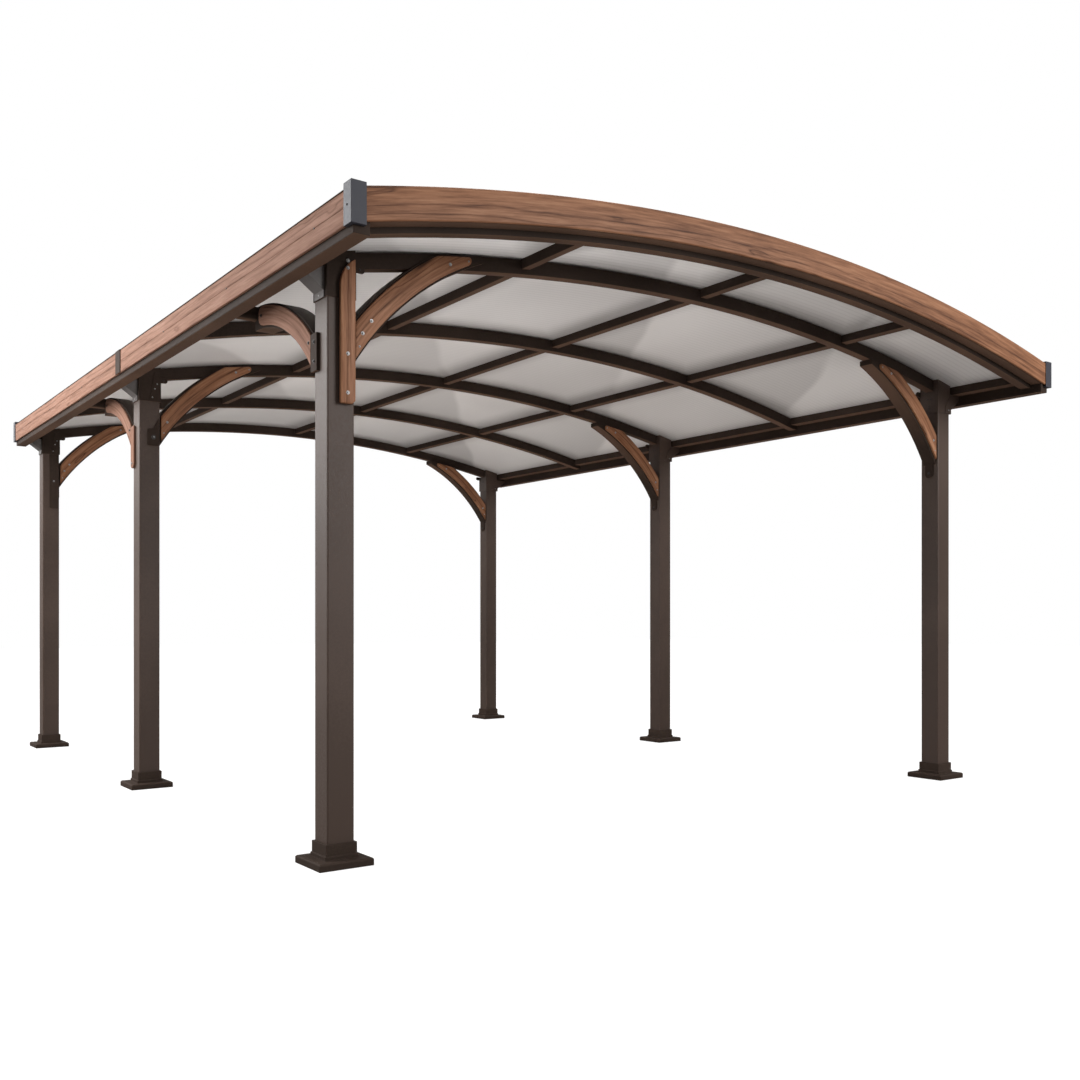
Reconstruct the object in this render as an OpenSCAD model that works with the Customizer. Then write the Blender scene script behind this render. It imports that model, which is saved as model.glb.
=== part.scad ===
// Arched six-post carport: steel frame, wood-look fascias and braces, twin-wall roof sheets.
// X runs across the arch, Y runs from the front to the back, Z is up, millimetres.

/* [Plan] */
// Distance between the two post rows, centre to centre
post_span = 3640; // [3000:10:4400]
// Distance between neighbouring posts of a row, centre to centre
bay_len = 2250; // [1800:10:2600]
// Front post centre to the outer face of the front fascia
front_overhang = 550; // [350:10:800]
// Post centre to the outer face of a side fascia
eave_overhang = 205; // [150:5:300]

/* [Heights] */
// Height of the lower edge of the side fascias
eave_z = 2100; // [1900:10:2600]
// Rise of the arch from the eave to its crown
roof_rise = 240; // [180:5:320]

/* [Posts and bases] */
// Side of a square post
post_w = 105; // [90:1:120]
// Wall of the sleeve around a post's head
head_t = 4; // [2:0.5:6]
// Height of the sleeve around a post's head
head_h = 95; // [70:5:160]
// Side of a base plate
plate_w = 210; // [180:5:260]
// Thickness of a base plate
plate_t = 28; // [16:1:40]
// Bevel round the top of a base plate
plate_bevel = 5; // [2:0.5:8]
// Wall of the collar above a base plate
collar_t = 8; // [5:0.5:12]
// Height of the collar above a base plate
collar_h = 56; // [40:1:90]
// Height of the thicker lip at the collar's foot
collar_lip_h = 14; // [8:1:20]
// Extra wall of the lip at the collar's foot
collar_lip_t = 4; // [2:0.5:6]

/* [Fascias] */
// Height of the wood-look boards round the roof
fascia_h = 110; // [90:1:140]
// Thickness of the wood-look boards round the roof
fascia_t = 12; // [8:1:32]
// Gap between the two side boards of an eave
joint_gap = 18; // [4:1:22]
// Width of the strip over the joint of two side boards
joint_w = 80; // [24:1:120]
// Length of each leg of a corner cap
cap_leg = 50; // [36:1:80]
// Sheet of the corner caps and joint strips
cap_t = 4; // [2:0.5:6]
// Height of a corner cap above the crossing of the boards
cap_rise = 4; // [2:1:10]

/* [Roof frame] */
// Depth of the steel channels behind the fascias
channel_t = 58; // [35:1:75]
// Top of the fascia to the top of the steel channel behind it
channel_drop = 4; // [2:1:12]
// Reach of an eave beam below its fascia
beam_lip = 30; // [5:1:50]
// Width of a rib
rib_w = 50; // [40:1:70]
// Depth of a rib
rib_d = 60; // [45:1:80]
// Width of a purlin
purlin_w = 42; // [30:1:60]
// Depth of a purlin
purlin_d = 40; // [25:1:44]
// Distance from a post row to the outer purlin beside it, centre to centre
purlin_pitch = 820; // [720:10:1020]
// Width of the ledge that carries the roof sheets at the eaves
ledge_w = 62; // [45:1:80]
// Height of the ledge's underside above the fascia's lower edge
ledge_lift = 25; // [15:1:30]

/* [Roof sheets] */
// Top of the fascia to the underside of the roof sheets
panel_drop = 70; // [60:1:80]
// Thickness of a roof sheet
panel_t = 10; // [6:0.5:16]
// Gap between neighbouring roof sheets over a rib
panel_gap = 12; // [6:1:20]
// Width of the bar over the joint of two roof sheets
bar_w = 54; // [40:1:60]
// Thickness of the bar over the joint of two roof sheets
bar_t = 5; // [3:0.5:8]

/* [Braces] */
// Reach of a knee brace from its post
brace_reach = 560; // [450:10:700]
// Radius of a knee brace's centre line
brace_r = 1250; // [1150:10:1500]
// Slope of a knee brace's centre line at its post, in degrees
brace_slope = 55; // [48:1:58]
// Depth of a knee brace, across its curve
brace_d = 92; // [70:1:110]
// Thickness of a knee brace's steel body
brace_t = 76; // [50:1:90]
// Height of the blunt upper end of a knee brace
brace_blunt = 26; // [15:1:40]
// Gap between the fork of a left knee brace and the roof sheet
fork_gap = 6; // [2:1:15]
// Reach of a side brace from its post
side_reach = 560; // [450:10:620]
// Radius of a side brace's centre line
side_r = 765; // [730:5:900]
// Width of the round toe that a side brace sets under the eave
toe_w = 46; // [30:1:50]
// Height of the round toe that a side brace sets under the eave
toe_h = 54; // [40:1:80]
// Thickness of the wood-look boards on the braces
board_t = 12; // [8:1:20]
// Steel margin left along a brace board
board_margin = 8; // [4:1:14]
// Length of bare steel past the upper end of a brace board
board_tip = 60; // [30:1:100]
// Width of the tab below a brace's foot
tab_w = 48; // [30:1:70]
// Length of the tab below a brace's foot
tab_h = 72; // [40:1:100]
// Thickness of the brace tabs and end plates
tab_t = 7; // [4:0.5:10]
// Width of the end plate of a side brace
end_plate_w = 42; // [30:1:50]
// Length of the wood-look leg under the middle side brace
leg_h = 95; // [60:5:160]
// Width of the wood-look leg under the middle side brace
leg_w = 56; // [40:1:70]

/* [Brackets and battens] */
// Sheet of the eave brackets and head plates
bracket_t = 4; // [3:0.5:6]
// Height of the bracket's outer edge
bracket_lip = 31; // [30:1:60]
// Height of the upright foot of a bracket
bracket_foot = 24; // [14:1:40]
// Width of a left bracket's strap
strap_w = 78; // [66:1:100]
// Height of a right bracket's flange at its inner edge
flange_h = 40; // [25:1:60]
// Gap between a bracket's flange and the head plate's width
bracket_gap = 4; // [1:0.5:8]
// Width of a head plate at its foot
gusset_w = 60; // [40:1:64]
// Width of a head plate at its top
gusset_top_w = 34; // [20:1:40]
// Reach of a head plate's ear beside the rib
gusset_ear = 34; // [20:1:50]
// Height of a head plate's ear
gusset_ear_h = 27; // [16:1:32]
// Gap between a left head plate and the roof sheet
gusset_gap = 22; // [10:1:35]
// Width of the battens on the left posts
batten_w = 58; // [40:1:64]
// Length of the battens on the left posts
batten_h = 532; // [420:2:640]
// Thickness of the wood-look batten
batten_t = 14; // [10:1:20]
// Gap between the battens' upper end and the roof sheet
batten_gap = 8; // [3:1:20]
// Chamfer at the foot of the wood-look batten
batten_taper = 12; // [5:1:20]
// Inset of the battens from the post's inner edge
batten_inset = 5; // [2:1:8]
// Height of the plate beside the middle left brace's foot
foot_plate_h = 90; // [60:1:120]
// Rise of that plate's wing towards the brace
foot_wing = 58; // [20:1:80]
// Rounding of the corners of the plates and strips on the left posts
plate_round = 9; // [4:0.5:14]

/* [Hidden] */
$fn = 64;

// Most facets round a full circle of the roof's arcs, and those of a brace's circle
arc_fine = 250;
brace_fn = 240;
// Clearance between pieces that lie on one another along a curve
seat = 0.3;
// Margin by which a cutting shape passes the shape that it cuts
past = 1;

// Colours
steel_c = "#3a302b";
wood_c = "#9a6446";
cap_c = "#45454d";
strap_c = "#8b8683";
sheet_c = [0.72, 0.70, 0.68, 0.7];

// Sides: -1 is the left row, 1 the right row
left = -1;
right = 1;

// Plan
back_overhang = rib_w/2 + channel_t + fascia_t;
roof_len = front_overhang + 2*bay_len + back_overhang;
front_y = -roof_len/2;
back_y = roof_len/2;
post_x = post_span/2;
half_w = post_x + eave_overhang;
post_in = post_x - post_w/2;
post_out = post_x + post_w/2;
post_y = [for (i = [0:2]) front_y + front_overhang + i*bay_len];
beam_out = half_w - fascia_t;
beam_in = beam_out - channel_t;
ledge_in = beam_in - ledge_w;
purlin_x = post_x - purlin_pitch;
rib_y = concat([front_y + back_overhang], [for (i = [0:4]) post_y[0] + i*bay_len/2]);

// Heights and the arch
fascia_top = eave_z + fascia_h;
ledge_z = eave_z + ledge_lift;
arch_r = (half_w*half_w + roof_rise*roof_rise)/(2*roof_rise);
arch_cz = fascia_top + roof_rise - arch_r;
panel_r = arch_r - panel_drop;
frame_r = panel_r - seat;
rib_r = frame_r - rib_d;
post_top_r = rib_r - seat;

// Height of an arc of the roof at a distance from the crown
function arch_z(x, r) = arch_cz + sqrt(r*r - x*x);

// Fineness of an arc with a corner of its facets at its end
function arc_fn(x, r) = round(360*floor(arc_fine*asin(x/r)/360)/asin(x/r));

// Forms of brace: radius, distance of the arc's centre from the post's face, reach, height of the end
knee_form = [brace_r, brace_r*sin(brace_slope), brace_reach, brace_blunt];
side_form = [side_r, side_reach, side_reach, brace_d];

// Lower and upper radius of a brace
function brace_in_r(form) = form[0] - brace_d/2;
function brace_out_r(form) = form[0] + brace_d/2;

// Heights of the arc's centre and of the brace's two edges at the post's face
function brace_cz(top, form) =
    top - form[3] - sqrt(pow(brace_in_r(form), 2) - pow(form[1] - form[2], 2));
function brace_foot(top, form) =
    brace_cz(top, form) + sqrt(pow(brace_in_r(form), 2) - pow(form[1], 2));
function brace_shoulder(top, form) =
    brace_cz(top, form) + sqrt(pow(brace_out_r(form), 2) - pow(form[1], 2));

// The left knee braces fork round the rib, the right ones end under it
function fork_h(side) = side < 0 ? rib_d - fork_gap : 0;
function knee_top(side) = arch_z(post_in - brace_reach, post_top_r) + fork_h(side);

head_z = arch_z(post_out + head_t, post_top_r) - head_h;
head_face = post_w/2 + head_t;
bracket_lap = 2*head_face - gusset_w - bracket_gap;
batten_top = arch_z(post_in + batten_inset + batten_w, frame_r) - batten_gap;
batten_low = batten_top - batten_h;
batten_face = head_face + bracket_t;

// Solid of the arch between two radii and two Y faces, above a height
module arch_slice(r_out, r_in, y0, y1, x_max, z_min = 0) {
    intersection() {
        translate([0, y1, arch_cz]) rotate([90, 0, 0]) rotate([0, 0, 90]) difference() {
            cylinder(r = r_out, h = y1 - y0, $fn = arc_fn(x_max, r_in));
            translate([0, 0, -past]) cylinder(r = r_in, h = y1 - y0 + 2*past, $fn = arc_fn(x_max, r_in));
        }
        translate([-x_max, y0, z_min]) cube([2*x_max, y1 - y0, fascia_top + roof_rise]);
    }
}

// Space under an arc of the roof, as far out as one of its points
module below_arch(r, x, y0, y1) {
    translate([0, y1, arch_cz]) rotate([90, 0, 0]) rotate([0, 0, 90])
        cylinder(r = r, h = y1 - y0, $fn = arc_fn(x, r));
}

// Far side of the cut for a rib: on the back posts the end channel takes the room behind the rib
function rib_cut(i, half_y) = i == 2 ? half_y + past : rib_w/2;

// Upright piece of a post's line: its top slopes under the roof sheet and is cut out for the rib
module saddle(i, x0, x1, z0, half_y) {
    cut_y = rib_cut(i, half_y);
    difference() {
        translate([0, half_y, 0]) rotate([90, 0, 0]) linear_extrude(2*half_y)
            polygon([[x0, z0], [x1, z0], [x1, arch_z(x1, frame_r)], [x0, arch_z(x0, frame_r)]]);
        translate([0, cut_y, 0]) rotate([90, 0, 0]) linear_extrude(cut_y + rib_w/2) polygon([
            [x0 - past, arch_z(x0 - past, post_top_r)], [x1 + past, arch_z(x1 + past, post_top_r)],
            [x1 + past, fascia_top], [x0 - past, fascia_top]
        ]);
    }
}

// Places its children at one post, mirrored for the left row so that +X points outwards
module at_post(side, i) {
    translate([0, post_y[i], 0]) mirror([side < 0 ? 1 : 0, 0, 0]) children();
}

module post(side, i) {
    color(steel_c) at_post(side, i) saddle(i, post_in, post_out, plate_t, post_w/2);
}

// Flange plate with a bevelled top and a collar round the post
module base(side, i) {
    collar_w = post_w + 2*collar_t;
    lip_w = collar_w + 2*collar_lip_t;
    color(steel_c) at_post(side, i) translate([post_x, 0, 0]) {
        translate([-plate_w/2, -plate_w/2, 0]) cube([plate_w, plate_w, plate_t - plate_bevel]);
        bevel_block(plate_w, plate_t - plate_bevel, plate_bevel);
        difference() {
            union() {
                translate([0, 0, plate_t]) linear_extrude(collar_lip_h) square(lip_w, center = true);
                translate([0, 0, plate_t]) linear_extrude(collar_h) square(collar_w, center = true);
            }
            translate([0, 0, plate_t]) linear_extrude(collar_h + past) square(post_w, center = true);
        }
    }
}

// Square frustum with sides sloping inwards at 45 degrees
module bevel_block(w, z, h) {
    intersection() {
        rotate([90, 0, 0]) translate([0, z, -w/2]) linear_extrude(w)
            polygon([[-w/2, 0], [w/2, 0], [w/2 - h, h], [-w/2 + h, h]]);
        rotate([90, 0, 90]) translate([0, z, -w/2]) linear_extrude(w)
            polygon([[-w/2, 0], [w/2, 0], [w/2 - h, h], [-w/2 + h, h]]);
    }
}

// Sleeve round the top of a post
module post_head(side, i) {
    color(steel_c) at_post(side, i) difference() {
        saddle(i, post_in - head_t, post_out + head_t, head_z, head_face);
        translate([post_in, -post_w/2, head_z - past]) cube([post_w, post_w, eave_z]);
    }
}

// Folded bracket from the post's head out to the eave beam: a strap with two cheeks,
// which on the right posts lap onto the head as flanges
module eave_bracket(side, i) {
    in_x = post_out + head_t;
    lip_z = ledge_z - bracket_lip;
    half_y = side < 0 ? strap_w/2 : head_face + bracket_t;
    lap = side < 0 ? 0 : bracket_lap;
    top_z = i == 2 ? arch_z(beam_in, arch_r - fascia_h) - seat : ledge_z;
    bend = [in_x + bracket_t, head_z + bracket_foot];
    slope = atan2(lip_z - bend[1], beam_in - bend[0]);
    web_z = bracket_t/cos(slope);
    color(strap_c) at_post(side, i) {
        for (y = [bracket_t - half_y, half_y]) translate([0, y, 0]) rotate([90, 0, 0])
            linear_extrude(bracket_t) {
                polygon([
                    [in_x, head_z], [bend[0], head_z], bend, [beam_in, lip_z],
                    [beam_in, top_z], [in_x, top_z]
                ]);
                if (lap > 0) polygon([
                    [in_x, top_z], [in_x - lap, head_z + flange_h], [in_x - lap, head_z], [in_x, head_z]
                ]);
            }
        translate([0, half_y, 0]) rotate([90, 0, 0]) linear_extrude(2*half_y) polygon([
            [in_x, head_z], [bend[0], head_z], bend, [beam_in, lip_z],
            [beam_in, lip_z + web_z], [in_x, head_z + bracket_foot + web_z]
        ]);
    }
}

// Plate on a post's head with a slanted edge and an ear under the rib
module head_plate(side, i) {
    in_x = post_in - head_t;
    ear_x = in_x - gusset_ear;
    ear_r = gusset_ear_h/2;
    ear_z = arch_z(ear_x, post_top_r) - seat;
    top_z = side < 0 ? arch_z(in_x + gusset_top_w, frame_r) - gusset_gap : ear_z;
    color(steel_c) at_post(side, i) translate([0, side < 0 ? -head_face : head_face + bracket_t, 0])
        rotate([90, 0, 0]) linear_extrude(bracket_t) {
            polygon([
                [in_x + gusset_w, head_z], [in_x, head_z], [in_x, top_z], [in_x + gusset_top_w, top_z]
            ]);
            translate([ear_x + ear_r, ear_z - ear_r]) circle(r = ear_r);
            translate([ear_x + ear_r, ear_z - gusset_ear_h]) square([gusset_ear, gusset_ear_h]);
        }
}

// Steel channel behind a side fascia, with a ledge for the roof sheets between the ribs
module eave_beam(side) {
    y0 = front_y + fascia_t;
    y1 = back_y - fascia_t;
    color(steel_c) mirror([side < 0 ? 1 : 0, 0, 0]) {
        translate([beam_in, y0, eave_z - beam_lip])
            cube([channel_t, y1 - y0, beam_lip + fascia_h - channel_drop]);
        intersection() {
            for (i = [0:len(rib_y) - 2]) translate([ledge_in, rib_y[i] + rib_w/2, ledge_z])
                cube([ledge_w, rib_y[i + 1] - rib_y[i] - rib_w, fascia_h]);
            below_arch(frame_r, ledge_in, y0, y1);
        }
    }
}

// Two lengths of straight board along an eave, parted under the joint strip
module side_fascia(side) {
    length = (roof_len - joint_gap)/2;
    color(wood_c) mirror([side < 0 ? 1 : 0, 0, 0])
        for (y = [front_y, back_y - length])
            translate([beam_out, y, eave_z]) cube([fascia_t, length, fascia_h]);
}

module joint_strip(side) {
    color(strap_c) mirror([side < 0 ? 1 : 0, 0, 0])
        translate([half_w, -joint_w/2, eave_z]) cube([cap_t, joint_w, fascia_h + cap_t]);
}

// Two legs of a corner cap in plan, which reach in by a depth
module cap_legs(depth) {
    translate([-cap_leg, -depth]) square([cap_leg + cap_t, depth + cap_t]);
    translate([-depth, -cap_leg]) square([depth + cap_t, cap_leg + cap_t]);
}

// Folded cap over the corner of two boards, lipped under them
module corner_cap(side, end) {
    top_z = arch_z(half_w - cap_leg, arch_r) + cap_rise;
    color(cap_c) mirror([side < 0 ? 1 : 0, 0, 0]) mirror([0, end < 0 ? 1 : 0, 0])
        translate([half_w, back_y, eave_z]) {
            linear_extrude(top_z - eave_z) cap_legs(0);
            translate([0, 0, -cap_t]) linear_extrude(cap_t) cap_legs(fascia_t);
            translate([-cap_leg, -cap_leg, top_z - eave_z])
                linear_extrude(cap_t) square(cap_leg + cap_t);
        }
}

module end_channel(y0) {
    color(steel_c) arch_slice(arch_r - channel_drop, arch_r - fascia_h, y0, y0 + channel_t, beam_in);
}

module end_fascia(y0) {
    color(wood_c) arch_slice(arch_r, arch_r - fascia_h, y0, y0 + fascia_t, beam_out);
}

module rib(i) {
    color(steel_c) arch_slice(frame_r, rib_r, rib_y[i] - rib_w/2, rib_y[i] + rib_w/2, beam_in, eave_z);
}

// Straight purlin lengths between neighbouring ribs, square to the arch
module purlins(x) {
    color(steel_c) for (i = [0:len(rib_y) - 2])
        translate([0, rib_y[i] + rib_w/2, arch_cz]) rotate([0, asin(x/frame_r), 0])
            translate([-purlin_w/2, 0, sqrt(pow(frame_r, 2) - pow(purlin_w/2, 2)) - purlin_d])
                cube([purlin_w, rib_y[i + 1] - rib_y[i] - rib_w, purlin_d]);
}

// Arched sheet of one bay, resting on two ribs
module roof_sheet(i) {
    last = len(rib_y) - 2;
    y0 = i == 0 ? front_y + fascia_t + channel_t : rib_y[i] + panel_gap/2;
    y1 = i == last ? back_y - fascia_t - channel_t : rib_y[i + 1] - panel_gap/2;
    color(sheet_c) arch_slice(panel_r + panel_t, panel_r, y0, y1, beam_in);
}

module sheet_joint_bars() {
    r = panel_r + panel_t + seat;
    color(steel_c) for (i = [1:len(rib_y) - 2])
        arch_slice(r + bar_t, r, rib_y[i] - bar_w/2, rib_y[i] + bar_w/2, beam_in);
}

// Curved band between two radii of a brace, in the plane of u and z, cut at the post's face
module brace_outline(top, form, margin, tip) {
    intersection() {
        translate([form[1], brace_cz(top, form)]) difference() {
            circle(r = brace_out_r(form) - margin, $fn = brace_fn);
            circle(r = brace_in_r(form) + margin, $fn = brace_fn);
        }
        translate([margin, brace_foot(top, form)]) square([form[2] - margin - tip, top]);
    }
}

// Outline of a tab with a round foot
module tab_outline(w, h) {
    translate([-w/2, -h + w/2]) square([w, h - w/2]);
    translate([0, -h + w/2]) circle(d = w);
}

// Brace from a post's inner face up to the rib, with a tab below its foot
module knee_brace(side, i) {
    top = knee_top(side);
    color(steel_c) at_post(side, i) {
        difference() {
            intersection() {
                translate([post_in, brace_t/2, 0]) rotate([90, 0, 0]) mirror([1, 0, 0])
                    linear_extrude(brace_t) brace_outline(top, knee_form, 0, 0);
                below_arch(post_top_r + fork_h(side), post_in - brace_reach, -post_w, post_w);
            }
            arch_slice(arch_r, post_top_r, -rib_w/2, rib_cut(i, brace_t/2), post_in);
        }
        translate([post_in, 0, brace_foot(top, knee_form) + tab_w/2]) rotate([90, 0, -90])
            linear_extrude(tab_t) tab_outline(tab_w, tab_h + tab_w/2);
    }
}

module knee_board(side, i) {
    board_r = post_top_r + fork_h(side) - board_margin;
    color(wood_c) at_post(side, i) intersection() {
        translate([post_in, -brace_t/2, 0]) rotate([90, 0, 0]) mirror([1, 0, 0])
            linear_extrude(board_t) brace_outline(knee_top(side), knee_form, board_margin, board_tip);
        below_arch(board_r, post_in - brace_reach + board_tip, -post_w, post_w);
    }
}

// Brace along the left row, from a post's back face to a toe under the eave ledge
module side_brace(i) {
    foot_z = brace_foot(ledge_z, side_form);
    plate_h = brace_shoulder(ledge_z, side_form) - foot_z;
    color(steel_c) at_post(left, i) {
        translate([post_out, post_w/2, 0]) rotate([90, 0, 90]) translate([0, 0, -brace_t])
            linear_extrude(brace_t) brace_outline(ledge_z, side_form, 0, 0);
        translate([post_out - brace_t, post_w/2 + side_reach, ledge_z]) rotate([90, 0, 90])
            linear_extrude(beam_in - post_out + brace_t) tab_outline(toe_w, toe_h);
        if (i == 0) translate([post_out, post_w/2 - end_plate_w, foot_z])
            cube([board_t, end_plate_w + board_margin, plate_h]);
    }
}

// Wood-look board on a side brace, with a leg down the post on the middle one
module side_board(i) {
    leg_top = brace_shoulder(ledge_z, side_form) - board_margin;
    color(wood_c) at_post(left, i) {
        translate([post_out, post_w/2, 0]) rotate([90, 0, 90])
            linear_extrude(board_t) brace_outline(ledge_z, side_form, board_margin, board_tip);
        if (i == 1) translate([post_out, post_w/2 + 2*board_margin - leg_w/2, leg_top])
            rotate([90, 0, 90]) linear_extrude(board_t)
                tab_outline(leg_w, leg_top - brace_foot(ledge_z, side_form) + leg_h);
    }
}

// Rectangle with round corners, from its lower left corner
module round_plate(w, h) {
    translate([plate_round, 0]) square([w - 2*plate_round, h]);
    translate([0, plate_round]) square([w, h - 2*plate_round]);
    for (x = [plate_round, w - plate_round], z = [plate_round, h - plate_round])
        translate([x, z]) circle(r = plate_round);
}

// Steel strip behind a batten, below the head sleeve
module batten_back(i) {
    color(steel_c) at_post(left, i) translate([post_in + batten_inset, -post_w/2, batten_low])
        rotate([90, 0, 0]) linear_extrude(batten_face - post_w/2) round_plate(batten_w, head_z - batten_low);
}

// Plate on a post's front face, with a wing beside the foot of its knee brace
module foot_plate(i) {
    color(steel_c) at_post(left, i)
        translate([post_in + batten_inset, -post_w/2, brace_foot(knee_top(left), knee_form)])
            rotate([90, 0, 0]) linear_extrude(tab_t) {
                round_plate(batten_w, foot_plate_h);
                polygon([
                    [0, plate_round], [batten_w/2, foot_plate_h], [0, foot_plate_h + foot_wing]
                ]);
            }
}

// Wood-look batten with a rounded outer shoulder and a chamfered foot
module wood_batten(i) {
    shoulder_r = 2*batten_w;
    color(wood_c) at_post(left, i) translate([post_in + batten_inset, -batten_face, 0])
        rotate([90, 0, 0]) linear_extrude(batten_t) intersection() {
            polygon([
                [batten_taper, batten_low], [batten_w, batten_low], [batten_w, batten_top],
                [0, batten_top], [0, batten_low + batten_taper]
            ]);
            union() {
                translate([0, batten_low]) square([batten_w, batten_h - shoulder_r]);
                translate([batten_w - shoulder_r, batten_top - shoulder_r]) circle(r = shoulder_r);
            }
        }
}

post(left, 0);  // front_left_post
post(left, 1);  // middle_left_post
post(left, 2);  // back_left_post
post(right, 0);  // front_right_post
post(right, 1);  // middle_right_post
post(right, 2);  // back_right_post
for (i = [0:2]) base(left, i);  // left_bases
for (i = [0:2]) base(right, i);  // right_bases
for (i = [0:2]) post_head(left, i);  // left_post_heads
for (i = [0:2]) post_head(right, i);  // right_post_heads
for (i = [0:2]) eave_bracket(left, i);  // left_eave_brackets
for (i = [0:2]) eave_bracket(right, i);  // right_eave_brackets
for (i = [0:2]) head_plate(left, i);  // left_head_plates
for (i = [0:2]) head_plate(right, i);  // right_head_plates
eave_beam(left);  // left_eave_beam
eave_beam(right);  // right_eave_beam
side_fascia(left);  // left_fascia
side_fascia(right);  // right_fascia
for (side = [left, right]) joint_strip(side);  // fascia_joint_strips
end_channel(front_y + fascia_t);  // front_channel
end_channel(back_y - fascia_t - channel_t);  // back_channel
end_fascia(front_y);  // front_fascia
end_fascia(back_y - fascia_t);  // back_fascia
for (side = [left, right], end = [-1, 1]) corner_cap(side, end);  // corner_caps
rib(0);  // front_rib
rib(1);  // front_post_rib
rib(2);  // front_bay_rib
rib(3);  // middle_post_rib
rib(4);  // back_bay_rib
rib(5);  // back_post_rib
purlins(-purlin_x);  // left_purlins
purlins(0);  // crown_purlins
purlins(purlin_x);  // right_purlins
roof_sheet(0);  // roof_sheet_1
roof_sheet(1);  // roof_sheet_2
roof_sheet(2);  // roof_sheet_3
roof_sheet(3);  // roof_sheet_4
roof_sheet(4);  // roof_sheet_5
sheet_joint_bars();
for (i = [0:2]) knee_brace(left, i);  // left_braces
for (i = [0:2]) knee_brace(right, i);  // right_braces
for (i = [0:2]) knee_board(left, i);  // left_brace_boards
for (i = [0:2]) knee_board(right, i);  // right_brace_boards
for (i = [0:1]) side_brace(i);  // left_side_braces
for (i = [0:1]) side_board(i);  // left_side_brace_boards
for (i = [0, 2]) batten_back(i);  // left_batten_backs
wood_batten(0);  // front_left_batten
foot_plate(1);  // middle_left_foot_plate
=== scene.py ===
import math

import bmesh
import bpy
import numpy as np
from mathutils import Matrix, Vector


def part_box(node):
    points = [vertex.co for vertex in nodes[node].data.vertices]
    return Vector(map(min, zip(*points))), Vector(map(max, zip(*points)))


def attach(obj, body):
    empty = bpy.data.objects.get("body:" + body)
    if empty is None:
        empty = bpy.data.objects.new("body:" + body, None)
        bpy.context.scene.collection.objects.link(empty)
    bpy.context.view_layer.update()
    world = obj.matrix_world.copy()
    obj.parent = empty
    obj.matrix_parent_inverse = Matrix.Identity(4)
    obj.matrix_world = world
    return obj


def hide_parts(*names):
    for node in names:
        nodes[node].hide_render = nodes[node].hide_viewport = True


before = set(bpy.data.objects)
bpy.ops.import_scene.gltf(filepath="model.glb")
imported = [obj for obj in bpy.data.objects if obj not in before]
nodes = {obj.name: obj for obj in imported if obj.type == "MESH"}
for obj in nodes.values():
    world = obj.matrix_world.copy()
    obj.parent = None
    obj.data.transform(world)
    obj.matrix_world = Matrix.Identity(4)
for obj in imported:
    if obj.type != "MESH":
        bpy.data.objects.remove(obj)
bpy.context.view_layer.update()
print("frame loaded,", len(nodes), "nodes")


def nodeBox(name):
    low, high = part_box(name)
    return np.array(low), np.array(high)


# Camera at the photograph's place, level, with the horizon kept low by the lens shift
cameraValues = {
    "eye": (-3.532, -5.607, 0.877),  # metres
    "yaw": 36.23,  # degrees from +Y towards +X
    "lens": 36.27,  # mm
    "sensor": 36.0,  # mm
    "rise": 0.0735,  # share of the picture
}


def addCamera(values):
    data = bpy.data.cameras.new("photo_camera")
    data.sensor_width = values["sensor"]
    data.lens = values["lens"]
    data.shift_y = values["rise"]
    camera = bpy.data.objects.new("photo_camera", data)
    camera.location = values["eye"]
    camera.rotation_euler = (math.pi / 2, 0, -math.radians(values["yaw"]))
    bpy.context.scene.collection.objects.link(camera)
    bpy.context.scene.camera = camera


addCamera(cameraValues)
print("camera placed")


# Measures that the boards share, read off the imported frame
sideLow, sideHigh = nodeBox("left_fascia")
crownTop = nodeBox("front_fascia")[1][2]
ribTop = nodeBox("middle_post_rib")[1][2]
halfWidth = -sideLow[0]
boardHeight = sideHigh[2] - sideLow[2]
archRise = crownTop - sideHigh[2]
archRadius = (halfWidth**2 + archRise**2) / (2 * archRise)
archCentre = crownTop - archRadius
ribDepth = 0.060  # metres, a rib's own height
seatGap = 0.0003  # metres, between a rib and what it rests on
ribUnder = ribTop - archCentre - ribDepth - seatGap  # radius of the ribs' underside

postNames = {
    -1: ("front_left_post", "middle_left_post", "back_left_post"),
    1: ("front_right_post", "middle_right_post", "back_right_post"),
}
postLow, postHigh = nodeBox("front_right_post")
postIn = postLow[0]  # distance of a post's inner and outer face from the crown line
postOut = postHigh[0]
postHalf = (postOut - postIn) / 2
postRows = [float(np.mean(np.array(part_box(name))[:, 1])) for name in postNames[1]]


# Shader nodes: settings by name, sockets set to a value or linked from another socket
def put(tree, kind, sockets=None, **settings):
    node = tree.nodes.new("ShaderNode" + kind)
    for key, value in settings.items():
        setattr(node, key, value)
    for key, value in (sockets or {}).items():
        if isinstance(value, bpy.types.NodeSocket):
            tree.links.new(value, node.inputs[key])
        else:
            node.inputs[key].default_value = value
    return node


def maths(tree, operation, first, second=0.0, third=0.0, clamp=False):
    sockets = {0: first, 1: second, 2: third}
    return put(tree, "Math", sockets, operation=operation, use_clamp=clamp).outputs[0]


def ranged(tree, value, low, high, toLow, toHigh, smooth=False):
    kind = "SMOOTHSTEP" if smooth else "LINEAR"
    sockets = {"Value": value, "From Min": low, "From Max": high, "To Min": toLow, "To Max": toHigh}
    return put(tree, "MapRange", sockets, interpolation_type=kind).outputs["Result"]


def mixed(tree, share, first, second):
    node = put(tree, "Mix", data_type="RGBA")
    for index, value in ((0, share), (6, first), (7, second)):
        if isinstance(value, bpy.types.NodeSocket):
            tree.links.new(value, node.inputs[index])
        else:
            node.inputs[index].default_value = value
    return node.outputs[2]


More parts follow.
